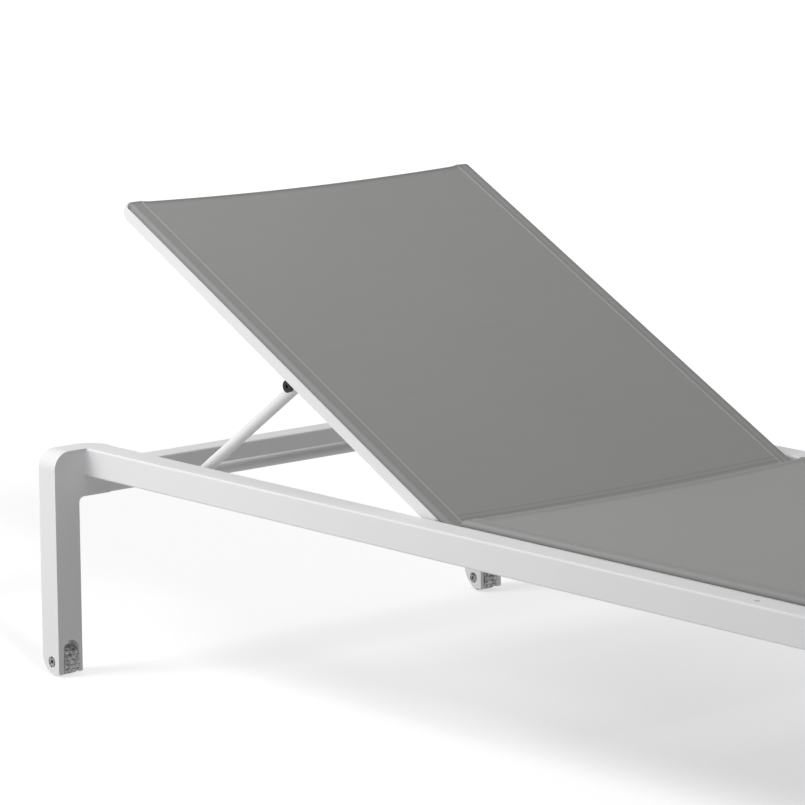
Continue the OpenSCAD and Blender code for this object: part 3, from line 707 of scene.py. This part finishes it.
def hem_tones(length, hems):
    """Doubled cloth at both ends, painted shade on the backrest's rolled top, and painted shade in
    the creases of each end's two sewn lines.

    A hem is a smooth step down at its width, and a crease is a bell curve.
    """
    doubled_and_shaded = np.zeros_like(length)
    crease = np.zeros_like(length)
    for run, hem in zip((length, length[-1] - length), hems):
        inner = hem.width + min(hem.softness, DOUBLED_INNER)
        shade = hem.tone * (1.0 - smooth_step(hem.width - hem.softness, inner, run))
        doubled_and_shaded = np.maximum(doubled_and_shaded, shade)
        # Painted shade in the crease of each sewn line
        crease += hem.crease * bell(hem.width, CREASE_WIDTH, run)
        crease += SECOND_CREASE_SHADE * hem.crease * bell(hem.width - SECOND_SEAM, SECOND_WIDTH, run)
    return doubled_and_shaded, crease


def cloth_tones(sling, grid, depth, length):
    """Tone at each point of a sling's level grid, from its sides and its hems, painted highlights
    and painted shade among them.
    """
    side = 1.0 - smooth_step(SEAM_DEPTH, SEAM_DEPTH + DOUBLED_EDGE, depth)
    inside = smooth_step(SEAM_DEPTH - SEAM_CLEAR, SEAM_DEPTH + SEAM_CLEAR, depth)
    height = grid[0, :, 2] - grid[0, 0, 2]
    far = grid[0, :, 1] > 0.0
    doubled_and_shaded, crease = hem_tones(length, sling.hems)
    tone = side_tones(depth, height, far, sling.seam)[None, :]
    tone = tone - DOUBLED_AND_SHADE_TONE * np.maximum(side[None, :], doubled_and_shaded[:, None])
    return tone - CREASE_PAINTED_SHADE * crease[:, None] * inside[None, :]


def make_cloth(sling, places):
    """Cloth of one sling, a thickened grid, with its cut and its tones kept on it."""
    grid, depth, cut = sling_grid(sling, places)
    grid = curl_end(curl_end(grid)[::-1])[::-1]
    rows, columns = grid.shape[:2]
    length = places - places[0]
    grid[..., 1] -= sling.half_span
    grid[..., 2] += RAIL_TOP
    points = tilt_up(grid) if sling.tilted else grid
    faces = grid_faces(rows, columns)
    piece = make_mesh(sling.name + "_cloth", points.reshape(-1, 3), faces, SLING)
    cut_x = np.broadcast_to(cut[None, :], (rows, columns))
    cut_y = np.broadcast_to(length[:, None], (rows, columns))
    set_cut(piece, np.stack([cut_x, cut_y], axis=-1).reshape(-1, 2))
    set_tone(piece, cloth_tones(sling, grid, depth, length))
    thicken(piece, CLOTH - THINNER)
    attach(piece, sling.body)
    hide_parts(sling.name)
    return piece, grid, depth, cut


def make_places(sling):
    """Places of the rows along a sling, close together at its ends and hems."""
    length = sling.last - sling.first
    ends = []
    for hem in sling.hems:
        rows = np.concatenate([
            END_ROWS, hem.width + np.array(SECOND_ROWS), hem.width + np.array(SEWN_ROWS)
        ])
        ends.append(np.unique(rows[rows >= 0.0]))
    middle_first = sling.hems[0].width + MIDDLE_FIRST
    middle_last = length - sling.hems[1].width - MIDDLE_LAST
    middle = np.arange(middle_first, middle_last, MIDDLE_STEP)
    return sling.first + np.concatenate([ends[0], middle, length - ends[1][::-1]])


def stitch_faces(count):
    """Quads between neighbouring rings of so many stitches."""
    rings = len(STITCH_RINGS)
    level, place = np.divmod(np.arange((rings - 1) * STITCH_SIDES), STITCH_SIDES)
    after = (place + 1) % STITCH_SIDES
    low = level * STITCH_SIDES
    high = low + STITCH_SIDES
    quads = np.stack([low + place, high + place, high + after, low + after], axis=1)
    starts = np.arange(count)[:, None, None] * (rings * STITCH_SIDES)
    return (quads[None, :, :] + starts).reshape(-1, 4)


def make_thread(name, centres, direction, thread, sling):
    """Sewn thread: a short rounded stitch at each centre, lying along one direction.

    A stitch is a tube of rings round its direction, thickest and highest in the middle
    ring.
    """
    side = np.cross(UPRIGHT, direction)
    turn = np.linspace(0.0, 2.0 * math.pi, STITCH_SIDES, endpoint=False)
    circle = np.cos(turn)[:, None] * side + np.sin(turn)[:, None] * UPRIGHT
    circle = circle * STITCH_WIDTH / 2.0
    along = (STITCH_RINGS * STITCH_LENGTH)[:, None] * direction + STITCH_LIFT[:, None] * UPRIGHT
    stitch = along[:, None, :] + STITCH_THICKNESS[:, None, None] * circle[None, :, :]
    points = (centres[:, None, None, :] + stitch[None, :, :, :]).reshape(-1, 3)
    points = tilt_up(points) if sling.tilted else points
    piece = make_mesh(name, points, stitch_faces(len(centres)), thread)
    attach(piece, sling.body)
    return piece


def seam_columns(depth):
    """The grid's columns on the right and the left sewn line."""
    column = int(np.argmin(np.abs(depth[: len(depth) // 2] - SEAM_DEPTH)))
    return column, len(depth) - 1 - column


def side_stitches(grid, depth):
    """Centres of the stitches along both sides."""
    places = grid[:, 0, 0]
    run = np.arange(places.min() + STITCH_MARGIN, places.max() - STITCH_MARGIN, STITCH_SPACING)
    centres = []
    for column in seam_columns(depth):
        height = np.interp(run, places, grid[:, column, 2])
        across = np.full_like(run, grid[0, column, 1])
        centres.append(np.stack([run, across, height], axis=-1))
    return np.concatenate(centres)


def hem_stitches(grid, depth, hems):
    """Centres of the stitches along both hems, between the side seams."""
    places = grid[:, grid.shape[1] // 2, 0]
    right, left = seam_columns(depth)
    centres = []
    for hem in (places[0] + hems[0].width, places[-1] - hems[1].width):
        line = grid[int(np.argmin(np.abs(places - hem))), right:left]
        across = np.arange(line[0, 1] + STITCH_MARGIN, line[-1, 1] - HEM_MARGIN, STITCH_SPACING)
        along = np.interp(across, line[:, 1], line[:, 0])
        height = np.interp(across, line[:, 1], line[:, 2])
        centres.append(np.stack([along, across, height], axis=-1))
    return np.concatenate(centres)


def dress_sling(sling):
    """One sling's cloth with the thread of its sides and the grey thread of its hems."""
    piece, grid, depth, cut = make_cloth(sling, make_places(sling))
    side_centres = side_stitches(grid, depth)
    hem_centres = hem_stitches(grid, depth, sling.hems)
    sides = make_thread(sling.name + "_side_thread", side_centres, ALONG, sling.thread, sling)
    ends = make_thread(sling.name + "_hem_thread", hem_centres, ACROSS, HEM_THREAD, sling)
    cut[-1] * MM
    (sling.last - sling.first) * MM


def make_back_sling():
    """Backrest cloth with its pale side seams."""
    dress_sling(Sling(
        name="back_sling",
        half_span=BACK_HALF_SPAN,
        first=HINGE_X - BACK_REACH,
        last=HINGE_X + BACK_TAIL,
        edge=back_edge,
        tilted=True,
        hems=(BACK_TOP_HEM, BACK_TAIL_HEM),
        seam=1.0,
        thread=THREAD,
        body="backrest",
        bars=["back_bar_right", "back_bar_left"],
    ))


def make_seat_sling():
    """Seat cloth with its grey side seams."""
    dress_sling(Sling(
        name="seat_sling",
        half_span=SEAT_HALF_SPAN,
        first=SEAT_HEAD,
        last=SEAT_FOOT,
        edge=straight_edge,
        tilted=False,
        hems=(SEAT_HEM, SEAT_HEM),
        seam=0.0,
        thread=HEM_THREAD,
        body="frame",
        bars=["seat_bar_right", "seat_bar_left"],
    ))


# Rail screws, in millimetres: the head's profile out from its axis and over the rail

RAIL_SCREW_X = 193.0
RAIL_SCREW_Y = 303.0
SCREW_REACH = np.array([0.0, 1.0, 1.3, 2.1, 2.8, 3.2, 3.2])
SCREW_RISE = np.array([-0.15, -0.15, 0.3, 0.4, 0.28, 0.05, -0.3])
SCREW_POINTS = 25


def make_rail_screws():
    """Small button screw on each rail's top: a round profile turned about an upright axis."""
    turn = np.linspace(0.0, 2.0 * math.pi, SCREW_POINTS)
    rings = np.stack([
        RAIL_SCREW_X + SCREW_REACH[:, None] * np.cos(turn)[None, :],
        SCREW_REACH[:, None] * np.sin(turn)[None, :],
        RAIL_TOP + np.repeat(SCREW_RISE[:, None], SCREW_POINTS, axis=1),
    ], axis=-1)
    faces = grid_faces(*rings.shape[:2])[:, ::-1]
    for side, place in (("right", -RAIL_SCREW_Y), ("left", RAIL_SCREW_Y)):
        points = (rings + [0.0, place, 0.0]).reshape(-1, 3)
        piece = make_mesh("rail_screw_" + side, points, faces, STEEL)
        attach(piece, "frame")


# Studio: places and sizes in metres, the keys' width in radians

FLOOR_REACH = 40.0
FLOOR_GREY = 0.63
FLOOR_GLOW = 0.51
SKY_LEVEL = 0.443
SKY_LEAN = 0.125
TOWARDS_HEAD = (-1.0, 0.0, 0.0)


def make_floor():
    """Plain pale floor that reaches past the view on all sides.

    It glows a little, so it stays near white in the light and soft grey in the shade,
    and it sends no light back up to the lounger.
    """
    corners = np.array([(-1.0, -1.0, 0.0), (1.0, -1.0, 0.0), (1.0, 1.0, 0.0), (-1.0, 1.0, 0.0)])
    glow = {"Emission Color": WHITE, "Emission Strength": FLOOR_GLOW}
    grey = (FLOOR_GREY, FLOOR_GREY, FLOOR_GREY, 1.0)
    material = finish("pale_floor", grey, 1.0, **{"Specular IOR Level": 0.0}, **glow)
    floor = make_mesh("floor", corners * FLOOR_REACH / MM, np.array([(0, 1, 2, 3)]), material)
    floor.visible_diffuse = False
    return floor


def make_world():
    """White surroundings, brightest towards the head end and falling evenly to the foot."""
    world = bpy.data.worlds.new("studio")
    world.use_nodes = True
    shader = Shader(world.node_tree)
    way = shader.add("ShaderNodeTexCoord", {}, {}, output=0)
    lean = shader.add(
        "ShaderNodeVectorMath", {"operation": "DOT_PRODUCT"}, {0: way, 1: TOWARDS_HEAD}, output=1
    )
    strength = lean * SKY_LEAN + SKY_LEVEL
    sky = shader.add("ShaderNodeBackground", {}, {"Color": WHITE, "Strength": strength})
    shader.add("ShaderNodeOutputWorld", {}, {"Surface": sky})
    bpy.context.scene.world = world


def aim_light(name, kind, place, target, energy):
    """Light of a kind at a place, turned to a target."""
    data = bpy.data.lights.new(name, kind)
    data.energy = energy
    light = bpy.data.objects.new(name, data)
    light.location = place
    light.rotation_mode = "QUATERNION"
    aim = Vector(target) - Vector(place)
    light.rotation_quaternion = aim.to_track_quat("-Z", "Y")
    bpy.context.scene.collection.objects.link(light)
    return light


def link_light(light, floor, state):
    """Keeps a light to the floor alone, or keeps it off the floor."""
    chosen = bpy.data.collections.new(light.name + "_linked")
    chosen.objects.link(floor)
    light.light_linking.receiver_collection = chosen
    chosen.collection_objects[0].light_linking.link_state = state


def make_key(name, floor, lean, width, energy):
    """Distant light from a lean off upright, (along, across), that draws a floor shadow."""
    key = aim_light(name, "SUN", (*lean, 1.0), (0.0, 0.0, 0.0), energy)
    key.data.angle = width
    link_light(key, floor, "INCLUDE")


def make_box(name, floor, place, target, size, energy):
    """Square soft box that lights the lounger but leaves the floor even."""
    light = aim_light(name, "AREA", place, target, energy)
    light.data.shape = "SQUARE"
    light.data.size = size
    link_light(light, floor, "EXCLUDE")


def make_studio():
    """Floor, surroundings, two keys for the floor's shadow, and three soft boxes."""
    floor = make_floor()
    make_world()
    make_key("side_key", floor, lean=(-0.3, -0.7), width=0.45, energy=1.03)
    make_key("foot_key", floor, lean=(2.0, -0.7), width=0.2, energy=1.38)
    make_box("side_box", floor, (-1.5, -2.1, 1.0), (-0.7, -0.3, 0.3), size=1.6, energy=24.1)
    make_box("top_box", floor, (-1.4, -0.8, 2.0), (-0.8, -0.3, 0.2), size=1.4, energy=13.6)
    make_box("roof_box", floor, (-0.2, 0.0, 2.6), (-0.5, 0.0, 0.3), size=2.6, energy=7.5)
    bpy.context.scene.view_settings.view_transform = "Standard"


make_camera()
paint_frame()
make_back_sling()
make_seat_sling()
make_rail_screws()
make_studio()

bpy.context.view_layer.update()
